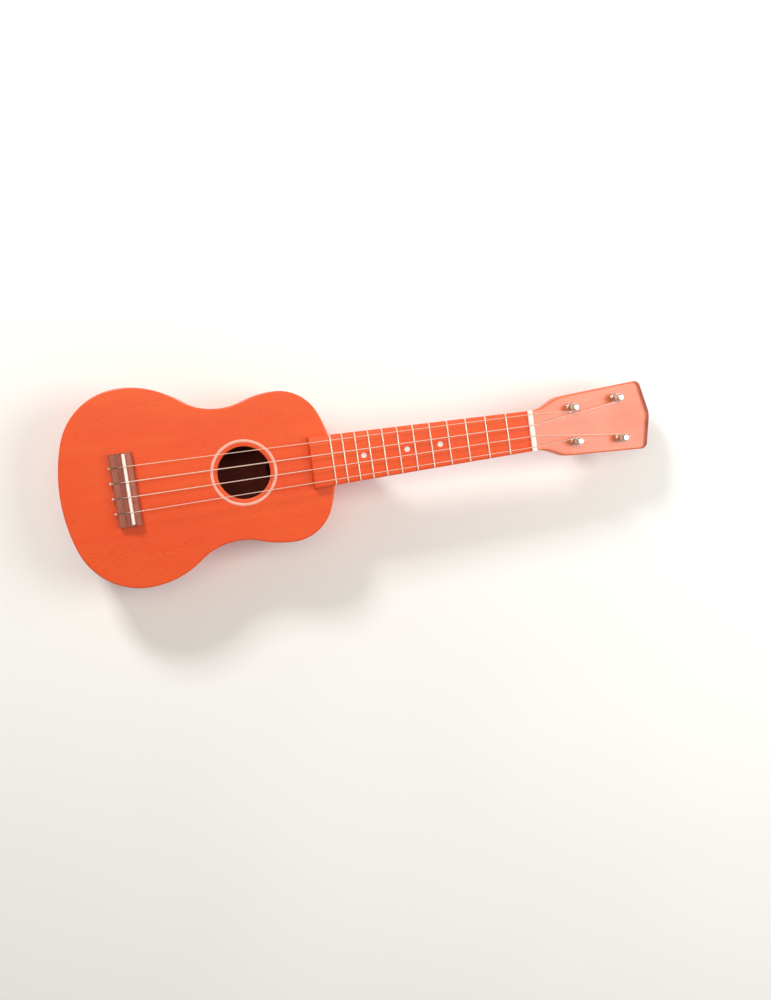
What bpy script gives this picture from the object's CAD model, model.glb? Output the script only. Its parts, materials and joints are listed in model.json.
"""Looks of the soprano ukulele: smooth wood shells, strings, pegs and procedural finishes round its CAD."""

import json
import math

import bmesh
import bpy
import numpy as np
from mathutils import Matrix, Vector


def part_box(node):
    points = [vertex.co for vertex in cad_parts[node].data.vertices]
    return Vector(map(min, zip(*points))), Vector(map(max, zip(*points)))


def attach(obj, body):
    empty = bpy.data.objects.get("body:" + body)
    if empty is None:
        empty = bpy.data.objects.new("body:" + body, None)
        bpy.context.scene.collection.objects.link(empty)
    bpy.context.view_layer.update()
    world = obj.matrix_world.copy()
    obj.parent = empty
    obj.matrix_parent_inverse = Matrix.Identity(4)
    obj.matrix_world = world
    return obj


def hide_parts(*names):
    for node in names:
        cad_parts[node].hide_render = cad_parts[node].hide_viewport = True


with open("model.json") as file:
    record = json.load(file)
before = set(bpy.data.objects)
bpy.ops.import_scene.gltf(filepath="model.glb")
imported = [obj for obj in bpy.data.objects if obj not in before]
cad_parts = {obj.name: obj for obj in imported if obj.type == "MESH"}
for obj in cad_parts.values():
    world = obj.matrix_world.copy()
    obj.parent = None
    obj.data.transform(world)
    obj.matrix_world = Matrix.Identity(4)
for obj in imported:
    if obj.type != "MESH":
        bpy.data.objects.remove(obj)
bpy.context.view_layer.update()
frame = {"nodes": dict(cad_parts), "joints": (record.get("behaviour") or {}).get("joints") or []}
MM = 0.001

# ------------------------------------------------------------
# Places taken from the frame, in metres
# ------------------------------------------------------------
INSTRUMENT = "instrument"
TOP_LO, TOP_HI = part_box("soundboard")
BACK_LO, BACK_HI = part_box("back")
RING_LO, RING_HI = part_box("rosette")
BOARD_LO, BOARD_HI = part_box("fretboard")
NUT_LO, NUT_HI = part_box("nut")
SADDLE_LO, SADDLE_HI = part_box("saddle")
BRIDGE_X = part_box("bridge")[0].x

DECK = TOP_HI.z
TAIL_X, JOINT_X = TOP_LO.x, TOP_HI.x
NUT_X = NUT_LO.x
HEAD_X = NUT_HI.x
SIDE_T = 2.4 * MM
HOLE = Vector(((RING_LO.x + RING_HI.x) / 2, 0, DECK))
HOLE_R = 22.65 * MM
RING_W = 2.45 * MM
RING_OUTER = (RING_HI.x - RING_LO.x) / 2
RING_INNER = RING_OUTER - RING_W

JOINTS = {joint["child"]: joint for joint in frame["joints"]}
PEG_AXIS = Vector(JOINTS["peg_g"]["axis"]).normalized()
TILT = math.atan2(PEG_AXIS.x, PEG_AXIS.z)
FACE_Z = JOINTS["peg_g"]["pos_m"][2] + (JOINTS["peg_g"]["pos_m"][0] - HEAD_X) * math.tan(TILT)
HEAD_FRAME = Matrix.Translation((HEAD_X, 0, FACE_Z)) @ Matrix.Rotation(TILT, 4, "Y")
HEAD_T = 12 * MM

STRINGS = ("g", "c", "e", "a")
STRING_D = {"g": 0.65 * MM, "c": 0.9 * MM, "e": 0.8 * MM, "a": 0.65 * MM}
PEG_AT = {k: (HEAD_FRAME.inverted() @ Vector(JOINTS[f"peg_{k}"]["pos_m"])).xy for k in STRINGS}


# ------------------------------------------------------------
# Mesh helpers
# ------------------------------------------------------------
def shade_smooth(mesh, sharp):
    """Smooth faces, with sharp edges above an angle in degrees."""
    mesh.polygons.foreach_set("use_smooth", [True] * len(mesh.polygons))
    mesh.set_sharp_from_angle(angle=math.radians(sharp))


def add_object(name, mesh, sharp=35):
    """Links a mesh as an object with smooth shading."""
    obj = bpy.data.objects.new(name, mesh)
    bpy.context.scene.collection.objects.link(obj)
    shade_smooth(mesh, sharp)
    return obj


def mesh_from(name, verts, faces, face_materials=None):
    """A mesh with its normals facing out."""
    mesh = bpy.data.meshes.new(name)
    mesh.from_pydata([tuple(map(float, v)) for v in verts], [], faces)
    if face_materials is not None:
        mesh.polygons.foreach_set("material_index", face_materials)
    bm = bmesh.new()
    bm.from_mesh(mesh)
    return outward_mesh(mesh, bm)


def outward_mesh(mesh, bm):
    """Moves a bmesh into a mesh, with its normals facing out."""
    bmesh.ops.recalc_face_normals(bm, faces=bm.faces)
    bm.to_mesh(mesh)
    bm.free()
    return mesh


def circle(steps):
    """A unit circle as (x, y) rows, anticlockwise from +X."""
    angles = np.linspace(0, 2 * math.pi, steps, endpoint=False)
    return np.column_stack([np.cos(angles), np.sin(angles)])


def at_height(points, z):
    """(x, y) rows as (x, y, z) rows at one height."""
    return np.column_stack([points, np.full(len(points), z)])


def ring_faces(rings, count):
    """Quads between neighbouring closed rings of count points."""
    return [
        (i * count + k, i * count + (k + 1) % count, (i + 1) * count + (k + 1) % count, (i + 1) * count + k)
        for i in range(rings - 1)
        for k in range(count)
    ]


def loft(name, rings, sharp=35):
    """A closed skin over rings that all have the same number of points."""
    count = len(rings[0])
    last = (len(rings) - 1) * count
    faces = ring_faces(len(rings), count)
    faces.append(tuple(range(count))[::-1])
    faces.append(tuple(range(last, last + count)))
    return add_object(name, mesh_from(name, np.concatenate(rings), faces), sharp)


def lathe(name, profile, place=Matrix.Identity(4), steps=64, sharp=35, closed=False):
    """Turns (radius, height) points about Z. A closed profile makes a ring, any other a solid."""
    rings = [at_height(r * circle(steps), z) for r, z in profile]
    if closed:
        total = len(rings) * steps
        faces = [tuple(v % total for v in face) for face in ring_faces(len(rings) + 1, steps)]
        obj = add_object(name, mesh_from(name, np.concatenate(rings), faces), sharp)
    else:
        obj = loft(name, rings, sharp)
    obj.data.transform(place)
    return obj


def arc_profile(centre, radius, start, end, steps):
    """Points of an arc about centre, from one angle to another, in degrees."""
    angles = np.radians(np.linspace(start, end, steps))
    return [(centre[0] + radius * math.cos(a), centre[1] + radius * math.sin(a)) for a in angles]


def smooth_path(points, spacing):
    """A smooth curve through the points, with a step about every spacing.

    Its tangents are weighted by the gaps, so unequal gaps don't make it overshoot."""
    points = np.array(points, float)
    gap = np.linalg.norm(np.diff(points, axis=0), axis=1)
    points = points[np.concatenate([[True], gap > 1e-6])]
    gap = np.linalg.norm(np.diff(points, axis=0), axis=1)
    slope = np.diff(points, axis=0) / gap[:, None]
    inner = (slope[:-1] * gap[1:, None] + slope[1:] * gap[:-1, None]) / (gap[1:] + gap[:-1])[:, None]
    tangent = np.vstack([2 * slope[0] - inner[0], inner, 2 * slope[-1] - inner[-1]])
    out = []
    for a, b, u, v, g in zip(points, points[1:], tangent, tangent[1:], gap):
        steps = max(1, round(g / spacing))
        for t in np.arange(steps) / steps:
            pull = g * (t * (1 - t) ** 2 * u - t**2 * (1 - t) * v)
            out.append(a + (b - a) * (3 * t**2 - 2 * t**3) + pull)
    return np.array(out + [points[-1]])


def tube(name, path, radius, sides):
    """A round cord along a path, with rounded ends."""
    path = np.array(path, float)
    tangents = np.gradient(path, axis=0)
    tangents /= np.linalg.norm(tangents, axis=1)[:, None]
    end_length, end_radius = 0.6 * radius, 0.45 * radius
    stations = [(path[0] - tangents[0] * end_length, tangents[0], end_radius)]
    stations += [(centre, tangent, radius) for centre, tangent in zip(path, tangents)]
    stations.append((path[-1] + tangents[-1] * end_length, tangents[-1], end_radius))
    side = np.cross(tangents[0], (0.0, 0.0, 1.0))
    rings = []
    for centre, tangent, r in stations:
        side = side - tangent * np.dot(side, tangent)
        side /= np.linalg.norm(side)
        rings.append(centre + r * circle(sides) @ np.array([side, np.cross(tangent, side)]))
    return loft(name, rings, sharp=80)


def block(name, centre, size, soft=0.0):
    """A box, with its edges cut back by soft."""
    mesh = bpy.data.meshes.new(name)
    bm = bmesh.new()
    place = Matrix.Translation(centre) @ Matrix.Diagonal((*size, 1))
    bmesh.ops.create_cube(bm, size=1.0, matrix=place)
    if soft:
        bmesh.ops.bevel(bm, geom=bm.edges[:], offset=soft, segments=1, affect="EDGES")
    bm.to_mesh(mesh)
    bm.free()
    return add_object(name, mesh)


def join(name, parts):
    """Several objects made into one mesh."""
    bm = bmesh.new()
    for part in parts:
        bm.from_mesh(part.data)
    mesh = bpy.data.meshes.new(name)
    bm.to_mesh(mesh)
    bm.free()
    for part in parts:
        old = part.data
        bpy.data.objects.remove(part)
        bpy.data.meshes.remove(old)
    return add_object(name, mesh)


def cut(obj, cutter):
    """Takes the cutter out of obj and removes it."""
    modifier = obj.modifiers.new("cut", "BOOLEAN")
    modifier.operation = "DIFFERENCE"
    modifier.solver = "EXACT"
    modifier.object = cutter
    bpy.context.view_layer.update()
    evaluated = obj.evaluated_get(bpy.context.evaluated_depsgraph_get())
    mesh = bpy.data.meshes.new_from_object(evaluated)
    obj.modifiers.clear()
    obj.data = mesh
    bpy.data.objects.remove(cutter)
    shade_smooth(mesh, 35)


def smoothstep(t):
    """0 up to t = 0, 1 from t = 1, and a smooth rise between them."""
    t = np.clip(t, 0.0, 1.0)
    return t * t * (3 - 2 * t)


# ------------------------------------------------------------
# Outlines, read from the CAD solids
# ------------------------------------------------------------
def flat_points(node, place, height, keep):
    """The node's corner points at one height of a frame, as unique (x, y) rows that keep() accepts."""
    back = place.inverted()
    found = {}
    for vertex in frame["nodes"][node].data.vertices:
        p = back @ vertex.co
        if abs(p.z - height) < 0.02 * MM and keep(p):
            found[(round(p.x, 5), round(p.y, 5))] = True
    return np.array(list(found), float)


def around(points, centre):
    """Points in order of angle about a centre, clockwise from -X, with close pairs thinned."""
    angle = np.arctan2(points[:, 1] - centre[1], points[:, 0] - centre[0])
    turn = np.mod(math.pi - angle + 1e-6, 2 * math.pi)
    points = points[np.argsort(turn)]
    gap = np.linalg.norm(points - np.roll(points, 1, axis=0), axis=1)
    return points[gap > 0.15 * MM]


def by_length(points, count):
    """A line of points resampled to count points, evenly spaced along it."""
    points = np.array(points, float)
    length = np.concatenate([[0], np.cumsum(np.linalg.norm(np.diff(points, axis=0), axis=1))])
    even = np.linspace(0, length[-1], count)
    return np.stack([np.interp(even, length, column) for column in points.T], 1)


def evenly(points, count):
    """A closed outline resampled to count even steps along a smooth curve through its points."""
    wrapped = np.vstack([points[-2:], points, points[:3]])
    curve = smooth_path(wrapped, 0.5 * MM)
    start, stop = (np.linalg.norm(curve - points[0], axis=1) < 1e-9).nonzero()[0][[0, -1]]
    return by_length(curve[start : stop + 1], count + 1)[:-1]


def outward(outline, closed=True):
    """Unit normals of an outline that runs clockwise, seen from +Z."""
    if closed:
        tangent = np.roll(outline, -1, axis=0) - np.roll(outline, 1, axis=0)
    else:
        tangent = np.gradient(outline, axis=0)
    tangent /= np.linalg.norm(tangent, axis=1)[:, None]
    return np.stack([-tangent[:, 1], tangent[:, 0]], 1)


def off_the_hole(p):
    """True for a corner point of the soundboard's rim, and not of its soundhole."""
    return (p - HOLE).xy.length > 30 * MM


BODY_STEPS = 360
WAIST = TAIL_X + 0.616 * (JOINT_X - TAIL_X)
RIM = flat_points("soundboard", Matrix.Identity(4), TOP_LO.z, off_the_hole)
BODY = evenly(around(RIM, (WAIST, 0.0)), BODY_STEPS)
BODY_OUT = outward(BODY)


def body_end(y):
    """X of the body's neck end at a distance from the centre line."""
    end = BODY[BODY[:, 0] > JOINT_X - 20 * MM]
    order = np.argsort(end[:, 1])
    return np.interp(y, end[order, 1], end[order, 0])


# ------------------------------------------------------------
# Materials. Noise scales are in cycles per metre along each axis.
# ------------------------------------------------------------
class Shader:
    """A node tree with one Principled shader, and short calls for the nodes that the finishes use."""

    def __init__(self, name, grain=None, **inputs):
        self.material = bpy.data.materials.new(name)
        self.material.use_nodes = True
        self.tree = self.material.node_tree
        self.bsdf = self.tree.nodes["Principled BSDF"]
        for key, value in inputs.items():
            self.bsdf.inputs[key.replace("_", " ").title().replace("Ior", "IOR")].default_value = value
        if grain:
            self.coords = self.node("ShaderNodeAttribute", attribute_name=grain).outputs["Vector"]
        else:
            self.coords = self.node("ShaderNodeTexCoord").outputs["Object"]

    def node(self, kind, inputs=None, **settings):
        """A new node. Each input is a plain value or another node's socket."""
        made = self.tree.nodes.new(kind)
        for key, value in settings.items():
            setattr(made, key, value)
        for key, value in (inputs or {}).items():
            if isinstance(value, bpy.types.NodeSocket):
                self.tree.links.new(value, made.inputs[key])
            else:
                made.inputs[key].default_value = value
        return made

    def stretched(self, scale, rotation=(0, 0, 0)):
        """Object coordinates in metres, scaled along each axis."""
        inputs = {"Vector": self.coords, "Scale": scale, "Rotation": rotation}
        return self.node("ShaderNodeMapping", inputs).outputs[0]

    def noise(self, vector, detail=2.0, roughness=0.5, distortion=0.0):
        inputs = {"Vector": vector, "Scale": 1.0, "Detail": detail, "Roughness": roughness}
        return self.node("ShaderNodeTexNoise", {**inputs, "Distortion": distortion}).outputs["Fac"]

    def ramp(self, value, low, high, to_low=0.0, to_high=1.0):
        """The value's range from low to high, carried over to the range from to_low to to_high."""
        inputs = {"Value": value, "From Min": low, "From Max": high, "To Min": to_low, "To Max": to_high}
        return self.node("ShaderNodeMapRange", inputs).outputs[0]

    def mix(self, factor, a, b):
        """Colour a at factor 0, colour b at factor 1."""
        return self.node("ShaderNodeMix", {0: factor, 6: a, 7: b}, data_type="RGBA").outputs[2]

    def math(self, operation, a, b):
        return self.node("ShaderNodeMath", {0: a, 1: b}, operation=operation).outputs[0]

    def vector(self, operation, a, b=(0, 0, 0)):
        return self.node("ShaderNodeVectorMath", {0: a, 1: b}, operation=operation).outputs

    def bump(self, height, strength, distance):
        inputs = {"Height": height, "Strength": strength, "Distance": distance}
        self.to("Normal", self.node("ShaderNodeBump", inputs).outputs[0])

    def to(self, key, value):
        """Links a socket to an input of the Principled shader."""
        self.tree.links.new(value, self.bsdf.inputs[key])


def srgb(red, green, blue):
    """An 8-bit sRGB colour as the linear colour that shaders take."""
    parts = [c / 255 for c in (red, green, blue)]
    return tuple(c / 12.92 if c <= 0.04045 else ((c + 0.055) / 1.055) ** 2.4 for c in parts) + (1.0,)


def wood(name, light, mid, dark, pore, roughness=0.38, coat=0.25, figure=(1, 1, 1), tilt=0.0, pores=0.7,
         grain=None, scorch=None):
    """Straight-grained open-pored wood under a stain.

    figure scales the grain along each axis, and pores is how strongly the pores show. scorch is (direction,
    start, end, colour): the stain darkens to that colour between two distances along a direction, on both
    sides of the centre line."""
    s = Shader(name, grain, roughness=roughness, coat_weight=coat, coat_roughness=0.22)
    fx, fy, fz = figure

    def along(x, across):
        return s.stretched((x * fx, across * fy, across * fz), (0, tilt, 0))

    ribbon = s.noise(along(9, 110), 3.0, 0.55, 0.4)
    cloud = s.noise(along(14, 22))
    fibre = s.noise(along(45, 1300), 3.0, 0.6)
    vessel = s.noise(along(210, 2600), 1.0)
    patch = s.noise(along(8, 30))
    open_pore = s.math("MULTIPLY", s.ramp(vessel, 0.61, 0.70), s.ramp(patch, 0.36, 0.62, 0.25, 1.0))
    colour = s.mix(s.ramp(ribbon, 0.32, 0.68), mid, light)
    colour = s.mix(s.ramp(cloud, 0.35, 0.75, 0.0, 0.5), colour, dark)
    colour = s.mix(s.ramp(fibre, 0.30, 0.72, 0.25, 0.0), colour, dark)
    colour = s.mix(s.math("MULTIPLY", open_pore, pores), colour, pore)
    if scorch:
        direction, start, end, burnt = scorch
        wander = 6 * MM
        mirrored = s.vector("ABSOLUTE", s.coords)[0]
        place = s.vector("DOT_PRODUCT", mirrored, direction)["Value"]
        place = s.math("ADD", place, s.math("MULTIPLY", s.noise(s.stretched((90, 90, 90))), wander))
        burn = s.ramp(place, start + wander / 2, end + wander / 2, 0.0, 0.9)
        colour = s.mix(burn, colour, burnt)
    s.to("Base Color", colour)
    s.to("Roughness", s.ramp(cloud, 0.3, 0.7, roughness - 0.05, roughness + 0.07))
    height = s.math("SUBTRACT", s.math("MULTIPLY", fibre, 0.35), open_pore)
    s.bump(height, 0.35, 0.06 * MM)
    return s.material


def moulded(name, colour, shade, roughness=0.3, coat=0.15):
    """Moulded plastic or bone: a faint cloud of tone, fine scuffs in its gloss."""
    s = Shader(name, roughness=roughness, coat_weight=coat, coat_roughness=0.12)
    cloud = s.noise(s.stretched((160, 160, 160)), 3.0)
    scuff = s.noise(s.stretched((900, 315, 900)), 4.0, 0.65)
    s.to("Base Color", s.mix(s.ramp(cloud, 0.35, 0.7), colour, shade))
    s.to("Roughness", s.ramp(scuff, 0.35, 0.7, roughness - 0.06, roughness + 0.14))
    s.bump(scuff, 0.25, 0.006 * MM)
    return s.material


def plated(name, colour, shade, roughness, marks_scale=(1500, 1500, 1500)):
    """Bright metal with handling marks and a slightly uneven polish."""
    s = Shader(name, metallic=1.0, roughness=roughness)
    cloud = s.noise(s.stretched((260, 260, 260)), 3.0)
    marks = s.noise(s.stretched(marks_scale), 4.0, 0.6)
    s.to("Base Color", s.mix(s.ramp(cloud, 0.35, 0.75), colour, shade))
    s.to("Roughness", s.ramp(marks, 0.3, 0.75, roughness * 0.7, roughness * 1.7))
    s.bump(marks, 0.2, 0.01 * MM)
    return s.material


def pearl():
    """Pearl inlay: broad swirling bands that shift between cool and warm white."""
    s = Shader("pearl", roughness=0.18, coat_weight=0.6, coat_roughness=0.08)
    swirl = s.noise(s.stretched((420, 700, 420)), 3.0, 0.5, 1.6)
    fleck = s.noise(s.stretched((1900, 1500, 1500)))
    colour = s.mix(s.ramp(swirl, 0.3, 0.7), srgb(255, 226, 214), srgb(214, 226, 222))
    s.to("Base Color", s.mix(s.ramp(fleck, 0.55, 0.75, 0.0, 0.5), colour, srgb(255, 250, 244)))
    s.bump(swirl, 0.15, 0.02 * MM)
    return s.material


def nylon():
    """Clear nylon monofilament: milky and slightly see-through."""
    s = Shader("nylon", roughness=0.3, transmission_weight=0.3, ior=1.53, coat_weight=0.4)
    cloud = s.noise(s.stretched((300, 2000, 2000)))
    s.to("Base Color", s.mix(s.ramp(cloud, 0.35, 0.7), srgb(255, 230, 210), srgb(248, 212, 190)))
    s.bump(cloud, 0.15, 0.01 * MM)
    return s.material


ORANGE = dict(
    light=srgb(239, 89, 28), mid=srgb(236, 81, 23), dark=srgb(229, 66, 17), pore=srgb(180, 46, 14)
)
HEAD_ORANGE = dict(
    light=srgb(240, 118, 60), mid=srgb(232, 104, 48), dark=srgb(214, 84, 34), pore=srgb(170, 52, 20)
)
M_ORANGE = wood("orange_mahogany", **ORANGE)
M_SIDES = wood("orange_mahogany_sides", **ORANGE, grain="grain")
M_INSIDE = wood(
    "unlit_mahogany", srgb(150, 60, 52), srgb(134, 52, 44), srgb(108, 42, 35), srgb(72, 27, 22),
    roughness=0.85, coat=0.0,
)
M_ROSEWOOD = wood(
    "rosewood", srgb(196, 114, 90), srgb(166, 88, 70), srgb(122, 60, 47), srgb(58, 27, 22),
    roughness=0.62, coat=0.0, figure=(9, 0.12, 9), pores=0.95,
)
M_WHITE = moulded("white_plastic", srgb(255, 243, 235), srgb(250, 232, 222))
M_RING = moulded("ring_plastic", srgb(250, 184, 166), srgb(244, 170, 150), 0.35, 0.3)
M_BUTTON = moulded("button_plastic", srgb(246, 241, 228), srgb(232, 224, 206), 0.28, 0.3)
M_NICKEL = plated("nickel", srgb(226, 222, 216), srgb(198, 192, 186), 0.16)
M_FRET = plated("fret_wire", srgb(252, 208, 188), srgb(234, 182, 162), 0.34, (1500, 150, 1500))
M_PEARL = pearl()
M_NYLON = nylon()


def finish_piece(obj, body, slot, node, *materials):
    """Gives a new piece its record slot, the CAD node that it stands for, its materials and its body."""
    for material in materials:
        obj.data.materials.append(material)
    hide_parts(node)
    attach(obj, body)


# ------------------------------------------------------------
# Body shell
# ------------------------------------------------------------
def bridge_rings(bm, rings):
    """Faces between neighbouring closed rings of bmesh vertices."""
    for lower, upper in zip(rings, rings[1:]):
        for k in range(len(lower)):
            j = (k + 1) % len(lower)
            bm.faces.new((lower[k], lower[j], upper[j], upper[k]))


def fill_between(bm, loops):
    """Flat faces that fill an outer loop and leave its inner loops open."""
    edges = [bm.edges.get((loop[k], loop[(k + 1) % len(loop)])) for loop in loops for k in range(len(loop))]
    bmesh.ops.triangle_fill(bm, use_beauty=True, edges=edges)


def plate(name, face_z, far_z, rim_r, hole=None):
    """A plate with the body's outline and a rounded rim at face_z.

    hole is the soundhole's (radius, height) profile, from far_z to face_z."""
    up = 1 if face_z > far_z else -1
    rim = [(0.0, far_z)]
    for a in np.radians([0, 15, 30, 45, 60, 75, 90]):
        rim.append((rim_r * (1 - math.cos(a)), face_z - up * rim_r * (1 - math.sin(a))))
    rim.append((rim_r + 0.8 * MM, face_z))
    profiles = [[at_height(BODY - BODY_OUT * inset, z) for inset, z in rim]]
    if hole:
        profiles.append([at_height(np.array(HOLE.xy) + r * circle(128), z) for r, z in hole])
    bm = bmesh.new()
    made = [[[bm.verts.new(p) for p in ring] for ring in profile] for profile in profiles]
    for rings in made:
        bridge_rings(bm, rings)
    fill_between(bm, [rings[0] for rings in made])
    fill_between(bm, [rings[-1] for rings in made])
    for face in bm.faces:
        face.material_index = 1 if abs(face.calc_center_median().z - far_z) < 1e-6 else 0
    return add_object(name, outward_mesh(bpy.data.meshes.new(name), bm), 40)


def build_soundboard():
    """The top, with a softened soundhole and a groove for the ring."""
    groove = 0.25 * MM
    lip = 0.08 * MM
    profile = [
        (HOLE_R, TOP_LO.z),
        (HOLE_R, DECK - 0.45 * MM),
        (HOLE_R + 0.13 * MM, DECK - 0.13 * MM),
        (HOLE_R + 0.45 * MM, DECK),
        (RING_INNER - lip, DECK),
        (RING_INNER, DECK - lip),
        (RING_INNER, DECK - groove),
        (RING_OUTER, DECK - groove),
        (RING_OUTER, DECK - lip),
        (RING_OUTER + lip, DECK),
        (RING_OUTER + 1 * MM, DECK),
    ]
    obj = plate("soundboard_shell", DECK, TOP_LO.z, 1.4 * MM, profile)
    finish_piece(obj, INSTRUMENT, "orange_wood", "soundboard", M_ORANGE, M_INSIDE)


def build_back():
    """The flat back, with its rounded rim below."""
    obj = plate("back_shell", BACK_LO.z, BACK_HI.z, 1.7 * MM)
    finish_piece(obj, INSTRUMENT, "orange_wood", "back", M_ORANGE, M_INSIDE)


def build_side(name, node, bass):
    """One bent side, from the tail's centre line to the neck's. Its grain follows the bend."""
    half = BODY_STEPS // 2
    index = np.arange(half + 1) if bass else -np.arange(half + 1) % BODY_STEPS
    line, out = BODY[index], BODY_OUT[index].copy()
    out[0], out[-1] = (-1, 0), (1, 0)
    inner = line - out * SIDE_T
    corners = [(line, BACK_HI.z), (line, TOP_LO.z), (inner, TOP_LO.z), (inner, BACK_HI.z)]
    rings = [np.array([(*edge[i], z) for edge, z in corners]) for i in range(len(line))]
    faces = ring_faces(len(rings), 4)
    last = (len(rings) - 1) * 4
    kinds = [1 if k % 4 == 2 else 0 for k in range(len(faces))] + [0, 0]
    faces += [(3, 2, 1, 0), (last, last + 1, last + 2, last + 3)]
    obj = add_object(name, mesh_from(name, np.concatenate(rings), faces, kinds), 30)
    plank = 0.5 if bass else 0.9
    along = np.concatenate([[0], np.cumsum(np.linalg.norm(np.diff(line, axis=0), axis=1))])
    grain = [(run, plank + k // 2 * SIDE_T, z) for run in along for k, (_, z) in enumerate(corners)]
    flow = obj.data.attributes.new("grain", "FLOAT_VECTOR", "POINT")
    flow.data.foreach_set("vector", np.array(grain).ravel())
    finish_piece(obj, INSTRUMENT, "orange_wood", node, M_SIDES, M_INSIDE)


def build_rosette():
    """The ring round the soundhole, a hair proud of the lacquer, with softened edges."""
    soft = 0.08 * MM
    proud = 0.02 * MM
    gap = 0.01 * MM
    depth = 0.24 * MM
    profile = [
        (RING_INNER + gap, -depth),
        (RING_INNER + gap, proud - soft),
        (RING_INNER + soft, proud),
        (RING_OUTER - soft, proud),
        (RING_OUTER - gap, proud - soft),
        (RING_OUTER - gap, -depth),
    ]
    obj = lathe("rosette_ring", profile, Matrix.Translation(HOLE), 160, 60, closed=True)
    finish_piece(obj, INSTRUMENT, "white_plastic", "rosette", M_RING)


# ------------------------------------------------------------
# Neck and headstock. u is the distance from the nut along the headstock's face.
# ------------------------------------------------------------
QUARTER = np.radians([0, 22, 45, 68, 90])
NECK_DEPTH = 11.5 * MM
NECK_TAPER = 0.012
BELLY = 2.35
HEEL_CAP = 12 * MM
HEEL_RUN = 34 * MM
HEEL_DEPTH = DECK
HEEL_SOFT = 1.2 * MM
HEAD_SPLIT = 34 * MM
HEAD_ROUND = 1.5 * MM
HEAD_MIDDLE = 60 * MM


def board_half(x):
    """Half the fretboard's width at x."""
    at_nut = (NUT_HI.y - NUT_LO.y) / 2
    at_end = (BOARD_HI.y - BOARD_LO.y) / 2
    return at_nut + (at_end - at_nut) * (NUT_X - x) / (NUT_X - BOARD_LO.x)


def neck_ring(half, depth, edge, square=0.0, fullness=BELLY, wall=0.0):
    """A closed section, as (across, up) rows from its flat top.

    square goes from a round belly, 0, to a flat slab, 1. fullness is the belly's exponent, where 2 is an
    ellipse. wall is the height of the upright sides above the belly."""
    a = np.radians(np.linspace(0, 90, 40))
    start = edge + wall
    drop = start + (depth - start) * np.sin(a) ** (2 / fullness)
    belly = np.column_stack([half * np.cos(a) ** (2 / fullness), -drop])
    belly = np.vstack([(half, -edge), belly]) if wall else belly
    r = HEAD_ROUND
    corner = [(half - r + r * math.cos(b), -depth + r - r * math.sin(b)) for b in QUARTER]
    slab = [(half, -edge), *corner, (0.0, -depth)]
    side = by_length(belly, 30) * (1 - square) + by_length(slab, 30) * square
    top = [(x, 0.0) for x in np.linspace(0, half - edge, 6)]
    shoulder = [(half - edge + edge * math.sin(b), -edge + edge * math.cos(b)) for b in QUARTER[1:-1]]
    right = np.vstack([top, shoulder, side])
    left = right[1:-1][::-1] * (-1, 1)
    return np.vstack([right, left])


def on_face_rim(p):
    """True for a corner point of the headstock's face that isn't on the nut's line or round a peg."""
    on_nut_line = p.x < 0.05 * MM and abs(p.y) < board_half(NUT_X) - 0.5 * MM
    return not on_nut_line and all((p.xy - peg).length > 5 * MM for peg in PEG_AT.values())


HEAD_OUTLINE = around(flat_points("headstock", HEAD_FRAME, 0.0, on_face_rim), (HEAD_MIDDLE, 0.0))
HEAD_FLARE = HEAD_OUTLINE[HEAD_OUTLINE[:, 1] > 0]
HEAD_FLARE = HEAD_FLARE[np.argsort(HEAD_FLARE[:, 0])]


def end_edge():
    """The headstock's slanted end on the bass side: its outward direction, and its distance that way."""
    end = HEAD_FLARE[HEAD_FLARE[:, 0] > 100 * MM]
    end = end[np.argsort(end[:, 1])]
    longest = np.linalg.norm(np.diff(end, axis=0), axis=1).argmax()
    near, far = end[longest], end[longest + 1]
    out = Vector((far[1] - near[1], near[0] - far[0], 0)).normalized()
    direction = HEAD_FRAME.to_3x3() @ out
    return direction, direction.dot(HEAD_FRAME @ Vector((*near, 0)))


EDGE_OUT, EDGE_AT = end_edge()
DARK_END = (EDGE_OUT, EDGE_AT - 7.5 * MM, EDGE_AT - 1.5 * MM, srgb(118, 20, 8))
M_HEAD = wood("orange_mahogany_head", **HEAD_ORANGE, tilt=-TILT, coat=0.5, pores=0.3, scorch=DARK_END)
M_HEAD_SIDES = wood("orange_mahogany_head_sides", **ORANGE, tilt=-TILT, scorch=DARK_END)


def head_half_width(u):
    """Half the headstock's width at u, short of its far corners."""
    return np.interp(u, HEAD_FLARE[:, 0], HEAD_FLARE[:, 1])


def neck_depth(x):
    """Depth of the neck's belly below the soundboard: shaft, the heel's hollow sweep, then its cap."""
    shaft = NECK_DEPTH + NECK_TAPER * max(0.0, NUT_X - x)
    past_back = HEEL_DEPTH + 14 * MM
    sweep = 1 - (x - JOINT_X - HEEL_CAP) / HEEL_RUN
    return shaft + (past_back - shaft) * min(1.0, max(0.0, sweep)) ** 3


def shaft_ring(x):
    """One section of the shaft or heel, cut off softly where it reaches the level of the back."""
    section = neck_ring(board_half(min(x, NUT_X)), neck_depth(x), 0.25 * MM)
    over = -section[:, 1] - HEEL_DEPTH
    cut_off = -HEEL_DEPTH - (over - np.sqrt(over**2 + HEEL_SOFT**2)) / 2
    level = np.where(section[:, 1] < -0.5 * HEEL_DEPTH, cut_off, section[:, 1])
    return np.column_stack([np.full(len(section), x), section[:, 0], DECK + level])


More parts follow.
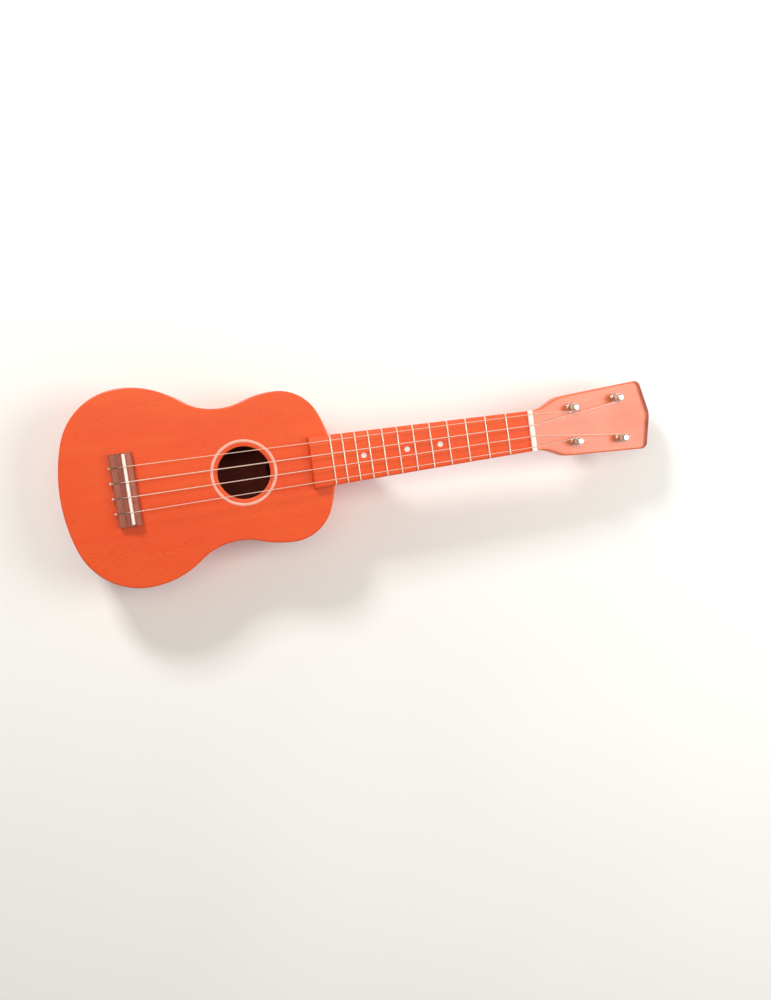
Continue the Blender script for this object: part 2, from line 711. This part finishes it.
def root_ring(u):
    """One section of the headstock's root, which leans over from upright at the nut to the face's tilt."""
    turn = smoothstep(u / HEAD_SPLIT)
    lean = TILT * smoothstep(u / (14 * MM))
    widen = smoothstep(u / (5 * MM))
    edge = (0.25 + 1.25 * smoothstep(u / (8 * MM))) * MM
    rise = FACE_Z - DECK
    depth = rise + neck_depth(HEAD_X)
    depth += (HEAD_T - depth) * turn
    half = head_half_width(u) - (head_half_width(0) - board_half(NUT_X)) * (1 - widen)
    section = neck_ring(half, depth, edge, smoothstep(u / HEAD_SPLIT * 1.15), BELLY + 0.25 * turn, rise)
    face = HEAD_FRAME @ Vector((u, 0, 0))
    x = face.x + section[:, 1] * math.sin(lean)
    return np.column_stack([x, section[:, 0], face.z + section[:, 1] * math.cos(lean)])


def face_wood(obj):
    """Gives the paler face wood, in material slot 1, to the faces that look out of the headstock's face."""
    for polygon in obj.data.polygons:
        on_face = polygon.normal.dot(PEG_AXIS) > 0.35 and polygon.center.x > HEAD_X - 1 * MM
        polygon.material_index = 1 if on_face else 0


def build_neck():
    """Heel, shaft and the root of the headstock, as one carved piece."""
    cap = np.linspace(2, 12, 6)
    sweep = np.linspace(13, 46, 34)
    shaft = np.linspace(50, 165, 24)
    rings = [shaft_ring(JOINT_X + t * MM) for t in (0, *cap, *sweep, *shaft)]
    rings[0][:, 0] = body_end(rings[0][:, 1]) - 0.3 * MM
    rings += [shaft_ring(x) for x in np.linspace(NUT_X, HEAD_X, 3)]
    rings += [root_ring(u) for u in np.linspace(0, 1, 24) * HEAD_SPLIT]
    obj = loft("neck_shell", rings, 40)
    face_wood(obj)
    finish_piece(obj, INSTRUMENT, "orange_wood", "neck", M_ORANGE, M_HEAD)


def head_rim():
    """The broad part's outline, from the split on the bass side round the tip to the treble side."""
    far = HEAD_OUTLINE[HEAD_OUTLINE[:, 0] > HEAD_SPLIT]
    far = far[np.argsort(-np.arctan2(far[:, 1], far[:, 0] - HEAD_MIDDLE))]
    width = head_half_width(HEAD_SPLIT)
    return by_length(np.vstack([(HEAD_SPLIT, width), far, (HEAD_SPLIT, -width)]), 220)


def build_headstock():
    """The headstock's broad part, bored for its pegs, with rims that roll off further at its end."""
    bore_r = 3.6 * MM
    margin = 0.3 * MM
    line = head_rim()
    out = outward(line, closed=False)
    out[0], out[-1] = (0, 1), (0, -1)
    at_end = smoothstep((line[:, 0] - line[:, 0].max() + 15 * MM) / (9 * MM))
    roll_in = HEAD_ROUND + 4.5 * MM * at_end
    roll_down = HEAD_ROUND + 0.7 * MM * at_end
    flatter = 1 + 0.4 * at_end
    bm = bmesh.new()

    def ring(inset, level):
        points = line - out * (inset + np.zeros(len(line)))[:, None]
        return [bm.verts.new((x, y, z)) for (x, y), z in zip(points, level + np.zeros(len(line)))]

    arc = [(abs(math.cos(a)), math.sin(a)) for a in np.radians([0, 12, 25, 38, 50, 62, 73, 82, 90])]
    top = [ring(roll_in * (1 - i**flatter), -roll_down * (1 - d**flatter)) for i, d in arc]
    bottom = [ring(HEAD_ROUND * (1 - i), HEAD_ROUND * (1 - d) - HEAD_T) for i, d in arc]
    inner_top = ring(roll_in + margin, 0.0)
    inner_bottom = ring(HEAD_ROUND + margin, -HEAD_T)
    bridge_rings(bm, [inner_bottom, *bottom[::-1], *top, inner_top])
    rims = {0.0: [inner_top], -HEAD_T: [inner_bottom]}
    for peg in PEG_AT.values():
        loops = [[bm.verts.new(p) for p in at_height(np.array(peg) + bore_r * circle(48), z)] for z in rims]
        bridge_rings(bm, loops)
        for rim, loop in zip(rims.values(), loops):
            rim.append(loop)
    for group in rims.values():
        fill_between(bm, group)
    mesh = outward_mesh(bpy.data.meshes.new("headstock_shell"), bm)
    mesh.transform(HEAD_FRAME)
    obj = add_object("headstock_shell", mesh, 40)
    face_wood(obj)
    finish_piece(obj, INSTRUMENT, "orange_wood", "headstock", M_HEAD_SIDES, M_HEAD)


# ------------------------------------------------------------
# Fretboard, frets, dots, nut, bridge and saddle
# ------------------------------------------------------------
def build_fretboard():
    """A tapered board with softened long edges and a slanted end over the body."""
    thick = BOARD_HI.z - BOARD_LO.z
    slant = 2.2 * MM
    r = 0.7 * MM
    nick = 0.15 * MM
    rings = []
    for x in np.linspace(BOARD_LO.x, NUT_X, 40):
        w = board_half(x)
        round_over = [(w - r + r * math.cos(a), thick - r + r * math.sin(a)) for a in QUARTER]
        right = np.array([(w - nick, 0.0), (w, nick), *round_over, (w * 0.5, thick), (0.0, thick)])
        section = np.vstack([right, right[:-1][::-1] * (-1, 1)])
        rings.append(np.column_stack([np.full(len(section), x), section[:, 0], BOARD_LO.z + section[:, 1]]))
    rings[0][:, 0] += slant * section[:, 1] / thick
    rings[1][:, 0] = np.maximum(rings[1][:, 0], rings[0][:, 0] + 0.3 * MM)
    obj = loft("fretboard_shell", rings, 30)
    finish_piece(obj, INSTRUMENT, "orange_wood", "fretboard", M_ORANGE)


def build_fret(number):
    """Fret wire: a domed crown, ends dressed at a slant, and the tang that shows at the board's edge."""
    node = f"fret_{number:02d}"
    lo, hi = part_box(node)
    x, half, z = (lo.x + hi.x) / 2, (hi.y - lo.y) / 2, BOARD_HI.z
    wide, high = (hi.x - lo.x) / 2, hi.z - z
    seat = 0.12 * MM
    arch = [(wide * math.cos(a), high * math.sin(a) ** 0.85) for a in np.radians(np.linspace(0, 180, 15))]
    crown = np.array([(wide, -seat), *arch, (-wide, -seat)])
    dressed = [(1, 0.1), (0.985, 0.6), (0.965, 0.9), (0.94, 1)]
    rings = []
    for y, scale in [(-y, scale) for y, scale in dressed] + dressed[::-1]:
        across = crown[:, 0] * (0.75 + 0.25 * scale)
        height = np.where(crown[:, 1] > 0, crown[:, 1] * scale, crown[:, 1])
        rings.append(np.column_stack([x + across, np.full(len(crown), y * half), z + height]))
    wire = loft("wire", rings, 50)
    tang = block("tang", (x, 0, z - 0.95 * MM), (0.5 * MM, 2 * half + 0.06 * MM, 1.7 * MM), 0.08 * MM)
    obj = join(f"fret_wire_{number:02d}", [wire, tang])
    finish_piece(obj, INSTRUMENT, "fret_wire", node, M_FRET)


def build_dot(number):
    """A position dot, a hair proud of the board, with a softened rim."""
    node = f"dot_{number:02d}"
    lo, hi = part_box(node)
    r, top, depth = (hi.x - lo.x) / 2, 0.03 * MM, 0.5 * MM
    profile = [(0, -depth), (r, -depth), (r, top - 0.05 * MM), (r - 0.06 * MM, top), (0, top + 0.01 * MM)]
    place = Matrix.Translation(((lo.x + hi.x) / 2, 0, BOARD_HI.z))
    obj = lathe(f"position_dot_{number:02d}", profile, place, 48)
    finish_piece(obj, INSTRUMENT, "pearl", node, M_PEARL)


def soften(node, width):
    """Welds a CAD node's mesh and rounds its edges, without moving its faces."""
    obj = frame["nodes"][node]
    weld = obj.modifiers.new("weld", "WELD")
    weld.merge_threshold = 1e-6
    bevel = obj.modifiers.new("soften", "BEVEL")
    bevel.width = width
    bevel.segments = 3
    bevel.limit_method = "ANGLE"
    bevel.angle_limit = math.radians(25)
    bevel.use_clamp_overlap = True
    normals = obj.modifiers.new("normals", "WEIGHTED_NORMAL")
    normals.keep_sharp = True


def build_saddle():
    """A bone-white bar with round ends and a crowned top that the strings cross."""
    x = (SADDLE_LO.x + SADDLE_HI.x) / 2
    half_t = (SADDLE_HI.x - SADDLE_LO.x) / 2
    straight = (SADDLE_HI.y - SADDLE_LO.y) / 2 - half_t
    crown_h, crown_in = 0.9 * MM, 0.8 * half_t
    levels = [(0.0, SADDLE_LO.z), (0.0, SADDLE_HI.z - crown_h)]
    for a in np.radians([20, 40, 60, 75, 88]):
        levels.append((crown_in * (1 - math.cos(a)), SADDLE_HI.z - crown_h * (1 - math.sin(a))))
    rings = []
    for inset, z in levels:
        ends = arc_profile((0, straight), half_t - inset, 0, 180, 13)
        ends += arc_profile((0, -straight), half_t - inset, 180, 360, 13)
        rings.append(at_height(np.array(ends) + (x, 0), z))
    obj = loft("saddle_bar", rings, 50)
    finish_piece(obj, INSTRUMENT, "white_plastic", "saddle", M_WHITE)


# ------------------------------------------------------------
# Strings and pegs. A peg's own frame has its origin on the headstock's face and its post along Z.
# ------------------------------------------------------------
NUT_PITCH = 9.5 * MM
SADDLE_PITCH = 13.0 * MM
STRING_SEAT = 7.35 * MM
NUT_DROP = 0.6 * MM
TIE_L = 8 * MM
POST_R = 2.9 * MM
POST_H = 12.4 * MM
SHAFT_R = 2.2 * MM
WINDING_TOP = 9.4 * MM
WINDING_TURNS = 4
BORE_H = WINDING_TOP + 1.6 * MM
BORE_R = 0.55 * MM
BUTTON_TOP = -13.1 * MM
BUTTON_L = 16 * MM


def peg_frame(letter):
    """The place and tilt of a peg's own frame."""
    return Matrix.Translation(JOINTS[f"peg_{letter}"]["pos_m"]) @ Matrix.Rotation(TILT, 4, "Y")


def lane(letter, pitch):
    """A string's distance from the centre line, where the strings lie at an even pitch."""
    return (1.5 - STRINGS.index(letter)) * pitch


def tangent_point(letter):
    """Where a string's middle line meets its winding.

    Gives the point in the headstock's frame, its angle round the post, the side of the post that it is on,
    1 or -1, and the radius of the winding's middle line."""
    side = 1 if STRINGS.index(letter) < 2 else -1
    line_r = POST_R + STRING_D[letter] / 2
    start = Vector((0, lane(letter, NUT_PITCH)))
    away = PEG_AT[letter] - start
    heading = math.atan2(away.y, away.x) - side * math.asin(line_r / away.length)
    reach = math.sqrt(away.length_squared - line_r**2)
    met = start + reach * Vector((math.cos(heading), math.sin(heading)))
    offset = met - PEG_AT[letter]
    return met, math.atan2(offset.y, offset.x), side, line_r


def winding_rise(letter):
    """Height from the lowest turn of a winding to its highest."""
    return (WINDING_TURNS - 1) * 0.96 * STRING_D[letter]


def string_run(letter, knot):
    """A string's path from its knot, over the saddle and nut, to the lowest turn on its peg."""
    r = STRING_D[letter] / 2
    ys, yn = lane(letter, SADDLE_PITCH), lane(letter, NUT_PITCH)
    met = tangent_point(letter)[0]
    end = HEAD_FRAME @ Vector((met.x, met.y, WINDING_TOP - winding_rise(letter)))
    saddle_z = SADDLE_HI.z + r
    nut_z = DECK + STRING_SEAT + r
    start = smooth_path([
        knot,
        (BRIDGE_X + 0.6 * MM, ys, DECK + 2.4 * MM),
        (BRIDGE_X + TIE_L - 2 * MM, ys, DECK + 3.6 * MM),
        (BRIDGE_X + TIE_L - 0.4 * MM, ys, DECK + 4.9 * MM),
        (SADDLE_LO.x - 0.5 * MM, ys, saddle_z - 1.15 * MM),
        (SADDLE_LO.x + 0.6 * MM, ys, saddle_z - 0.05 * MM),
        (SADDLE_HI.x - 0.6 * MM, ys, saddle_z),
        (SADDLE_HI.x + 3 * MM, ys, saddle_z - 0.02 * MM),
    ], 0.35 * MM)
    over = smooth_path([
        (NUT_X - 1 * MM, yn, nut_z + 0.01 * MM),
        (NUT_X + 0.6 * MM, yn, nut_z),
        (HEAD_X - 0.2 * MM, yn, nut_z - NUT_DROP + 0.02 * MM),
    ], 0.5 * MM)
    middle = np.linspace(start[-1], over[0], 24)[1:-1]
    last = np.linspace(over[-1], np.array(end), 16)[1:]
    return np.vstack([start, middle, over, last])


def string_knot(letter, knot):
    """The turns of a string's knot behind the bridge, and its cut tail."""
    d = STRING_D[letter]
    coil = []
    for t in np.linspace(0, 1, 60):
        a = (0.25 + t * 2.2) * 2 * math.pi
        back = 0.2 * MM + t * 1.9 * d
        coil.append((knot[0] - back, knot[1] + 0.95 * d * math.cos(a), knot[2] + 0.95 * d * math.sin(a)))
    lift = 1.0 if letter in "ce" else 0.2
    last = np.array(coil[-1])
    tail = smooth_path([
        last,
        last + np.array((-0.2, 0.5, 0.5)) * MM,
        last + np.array((0.3, 0.8 + 0.3 * lift, 1.0 + 1.0 * lift)) * MM,
    ], 0.3 * MM)
    return np.vstack([coil, tail[1:]])


def build_string(letter):
    """One string with its knot behind the bridge."""
    knot = (BRIDGE_X - 0.7 * MM, lane(letter, SADDLE_PITCH), DECK + 2.2 * MM)
    r = STRING_D[letter] / 2
    parts = [tube("run", string_run(letter, knot), r, 12), tube("knot", string_knot(letter, knot), r, 10)]
    finish_piece(join(f"string_{letter}_line", parts), INSTRUMENT, "nylon", f"string_{letter}", M_NYLON)


def build_winding(letter):
    """The turns on the post, up to the post's bore and out of it in a short cut end."""
    _, angle, side, line_r = tangent_point(letter)
    low = WINDING_TOP - winding_rise(letter)
    out_angle = 0.0 if side > 0 else math.pi
    turn = (out_angle - angle) * side % (2 * math.pi)
    total = turn + 2 * math.pi * (WINDING_TURNS - 1)
    points = []
    for t in np.linspace(0, 1, 48 * WINDING_TURNS):
        a = angle + side * total * t
        points.append((line_r * math.cos(a), line_r * math.sin(a), low + winding_rise(letter) * t))
    aim = math.cos(out_angle)
    climb = smooth_path([
        points[-1],
        (aim * (line_r + 0.15 * MM), side * 0.9 * MM, WINDING_TOP + 0.7 * MM),
        (aim * (line_r - 0.2 * MM), side * 0.5 * MM, BORE_H - 0.3 * MM),
        (aim * POST_R * 0.5, 0, BORE_H),
        (-aim * POST_R, 0, BORE_H),
        (-aim * (POST_R + 1.4 * MM), 0.3 * MM, BORE_H + 0.2 * MM),
        (-aim * (POST_R + 2.6 * MM), 0.9 * MM, BORE_H + 0.7 * MM),
    ], 0.3 * MM)
    path = np.vstack([points, climb[1:]])
    obj = tube(f"winding_{letter}_turns", path, STRING_D[letter] / 2, 10)
    obj.data.transform(peg_frame(letter))
    finish_piece(obj, f"peg_{letter}", "nylon", f"winding_{letter}", M_NYLON)


def build_post(letter):
    """A plated post: shoulder, bored capstan and domed top, on the shaft that runs down to the button."""
    flange, dome = 3.7 * MM, 0.8 * MM
    shaft_end, shaft_top = -22 * MM, -8 * MM
    profile = [(0, shaft_end), (SHAFT_R, shaft_end), (SHAFT_R, shaft_top), (POST_R, shaft_top)]
    profile += [(POST_R, 0.9 * MM), (flange - 0.1 * MM, 0.9 * MM), (flange, 1.0 * MM), (flange, 1.35 * MM)]
    profile += arc_profile((flange - 0.35 * MM, 1.35 * MM), 0.35 * MM, 15, 75, 4)
    profile += [(POST_R + 0.25 * MM, 1.8 * MM), (POST_R + 0.06 * MM, 2.0 * MM), (POST_R, 2.4 * MM)]
    profile += [(POST_R, POST_H - 1.0 * MM)]
    profile += arc_profile((POST_R - dome, POST_H - dome), dome, 10, 80, 6)
    profile += [(1.2 * MM, POST_H + 0.12 * MM), (0, POST_H + 0.2 * MM)]
    obj = lathe(f"post_{letter}", profile, sharp=40)
    y, z = (BORE_R * circle(24)).T
    cut(obj, loft("bore", [np.column_stack([np.full(24, x), y, BORE_H + z]) for x in (-5 * MM, 5 * MM)]))
    obj.data.transform(peg_frame(letter))
    finish_piece(obj, f"peg_{letter}", "nickel", f"peg_post_{letter}", M_NICKEL)


def button_ring(t):
    """One section of a button, from its collar at t = 0 to its end at t = 1."""
    collar, flare, waist, swell = 3.7, 3.6, 0.75, 0.5
    spread = smoothstep((t - 0.12) / 0.42)
    half_w = (collar + flare * spread) * MM
    half_t = (collar - waist * spread + swell * smoothstep((t - 0.6) / 0.4)) * MM
    close = math.sqrt(max(0.0, 1 - max(0.0, (t - 0.86) / 0.14) ** 2)) * 0.28 + 0.72
    if t < 0.08:
        close = 0.86 + 0.14 * math.sqrt(max(0.0, 1 - (1 - t / 0.08) ** 2))
    power = 2 + 0.8 * spread  # 2 is an ellipse
    cos, sin = circle(56).T
    r = np.abs(cos / (half_w * close)) ** power + np.abs(sin / (half_t * close)) ** power
    x, y = r ** (-1 / power) * (cos, sin)
    dish = 0.35 * MM * spread * (1 - smoothstep((t - 0.8) / 0.2)) * np.exp(-((x / (3.5 * MM)) ** 2))
    y = np.sign(y) * np.maximum(np.abs(y) - dish * (np.abs(y) > 1 * MM), 0)
    return at_height(np.column_stack([x, y]), BUTTON_TOP - BUTTON_L * t)


def build_button(letter):
    """An oval finger button: a turned collar that spreads into a waisted paddle with dished faces."""
    levels = [0, 0.02, 0.08, 0.16, 0.24, 0.32, 0.42, 0.54, 0.66, 0.78, 0.87, 0.93, 0.97, 0.99, 1.0]
    obj = loft(f"button_{letter}", [button_ring(t) for t in levels], 60)
    end = BUTTON_TOP - BUTTON_L
    sink_r = 2.5 * MM
    cut(obj, lathe("sink", [(sink_r, end - 1 * MM), (sink_r, end + 1.9 * MM)], steps=32))
    obj.data.transform(peg_frame(letter))
    finish_piece(obj, f"peg_{letter}", "button_plastic", f"peg_button_{letter}", M_BUTTON)


def build_screw(letter):
    """The pan-headed screw sunk in the button's end, with a straight slot."""
    bottom = BUTTON_TOP - BUTTON_L
    under = bottom + 1.8 * MM
    head, thread = 2.35 * MM, 1.0 * MM
    profile = [(0, bottom), (head - 0.5 * MM, bottom), (head - 0.15 * MM, bottom + 0.12 * MM)]
    profile += [(head, bottom + 0.5 * MM), (head, under), (thread, under)]
    profile += [(thread, bottom + 14 * MM), (0, bottom + 14.4 * MM)]
    obj = lathe(f"screw_{letter}", profile, steps=40)
    cut(obj, block("slot", (0, 0, bottom), (6 * MM, 0.6 * MM, 1.4 * MM)))
    obj.data.transform(peg_frame(letter))
    finish_piece(obj, f"peg_{letter}", "nickel", f"peg_screw_{letter}", M_NICKEL)


def build_bushings():
    """Pressed ferrules round the posts, with a rolled rim."""
    bore, barrel, depth = POST_R + 0.05 * MM, 3.58 * MM, -8 * MM
    profile = [(bore, depth), (barrel, depth), (barrel, 0.02 * MM), (4.0 * MM, 0.02 * MM)]
    profile += arc_profile((3.75 * MM, 0.35 * MM), 0.4 * MM, -40, 90, 8)
    profile += [(bore + 0.3 * MM, 0.8 * MM), (bore, 0.65 * MM)]
    parts = [lathe("ferrule", profile, peg_frame(k), 56, 40, closed=True) for k in STRINGS]
    finish_piece(join("ferrules", parts), INSTRUMENT, "nickel", "front_bushings", M_NICKEL)


def build_washers():
    """Cup washers between the headstock's back and the buttons."""
    bore, cup, soft = SHAFT_R + 0.05 * MM, 4.6 * MM, 0.4 * MM
    low, high = -13 * MM, -12 * MM
    profile = [(bore, high), (bore, low + 0.15 * MM), (bore + 0.2 * MM, low), (cup, low)]
    profile += arc_profile((cup, low + soft), soft, -90, 0, 5) + [(cup + soft, high)]
    parts = [lathe("cup", profile, peg_frame(k), 56, 40, closed=True) for k in STRINGS]
    finish_piece(join("cup_washers", parts), INSTRUMENT, "nickel", "rear_washers", M_NICKEL)


# ------------------------------------------------------------
# Build
# ------------------------------------------------------------
build_soundboard()
build_back()
build_side("side_bass_shell", "side_bass", True)
build_side("side_treble_shell", "side_treble", False)
build_rosette()
build_neck()
build_headstock()
build_fretboard()
for number in range(1, 13):
    build_fret(number)
for number in (5, 7, 10):
    build_dot(number)
build_saddle()
for letter in STRINGS:
    build_string(letter)
    build_winding(letter)
    build_post(letter)
    build_button(letter)
    build_screw(letter)
build_bushings()
build_washers()

CAD_FINISH = {"nut": M_WHITE, "bridge": M_ROSEWOOD}
for node, obj in frame["nodes"].items():
    obj.data.materials.clear()
    obj.data.materials.append(CAD_FINISH.get(node, M_INSIDE))
soften("nut", 0.25 * MM)
soften("bridge", 0.35 * MM)


# ------------------------------------------------------------
# Stage: floor, light and camera
# ------------------------------------------------------------
FLOOR_HALF = 6
CAMERA_FROM_NUT = Vector((-0.1953, 0.0182, 0.9451))
CAMERA_TURN = (-3.208, -4.544, -8.209)
CAMERA_LENS = 36.89


def build_floor():
    """A wide sheet of plain pale paper."""
    square = [(FLOOR_HALF * x, FLOOR_HALF * y, 0) for x, y in ((-1, -1), (1, -1), (1, 1), (-1, 1))]
    mesh = mesh_from("floor", square, [(0, 1, 2, 3)])
    s = Shader("floor_paper", roughness=0.9)
    cloud = s.noise(s.stretched((3, 3, 3)))
    s.to("Base Color", s.mix(s.ramp(cloud, 0.3, 0.7), srgb(252, 251, 249), srgb(247, 246, 244)))
    mesh.materials.append(s.material)
    add_object("floor", mesh)


def softbox(name, place, aim, size, power, colour=(1, 1, 1)):
    """A rectangular light of a size in metres and a power in watts, turned to an aim."""
    light = bpy.data.lights.new(name, "AREA")
    light.shape = "RECTANGLE"
    light.size, light.size_y = size
    light.energy = power
    light.color = colour
    obj = bpy.data.objects.new(name, light)
    bpy.context.scene.collection.objects.link(obj)
    obj.location = place
    obj.rotation_euler = (Vector(aim) - Vector(place)).to_track_quat("-Z", "Y").to_euler()


def build_world():
    """Even white light from all round."""
    world = bpy.data.worlds.new("studio")
    world.use_nodes = True
    background = world.node_tree.nodes["Background"]
    background.inputs["Color"].default_value = (1, 1, 1, 1)
    background.inputs["Strength"].default_value = 0.35
    bpy.context.scene.world = world
    bpy.context.scene.view_settings.view_transform = "Standard"


def build_camera():
    """The camera above the neck, looking almost straight down."""
    camera = bpy.data.cameras.new("camera")
    camera.sensor_width = 36
    camera.lens = CAMERA_LENS
    obj = bpy.data.objects.new("camera", camera)
    bpy.context.scene.collection.objects.link(obj)
    obj.location = Vector((NUT_X, 0, 0)) + CAMERA_FROM_NUT
    obj.rotation_euler = tuple(math.radians(a) for a in CAMERA_TURN)
    bpy.context.scene.camera = obj


build_floor()
softbox("key", (-0.55, 1.25, 0.95), (-0.1, 0, 0.05), (0.32, 0.32), 16)
softbox("head_sheen", (1.05, -0.03, 0.95), (0.2, 0, 0.05), (0.7, 0.9), 10)
softbox("top_sheen", (-0.05, 0.3, 1.45), (-0.05, 0, 0.05), (1.1, 0.4), 3.2, (1.0, 0.9, 0.55))
build_world()
build_camera()
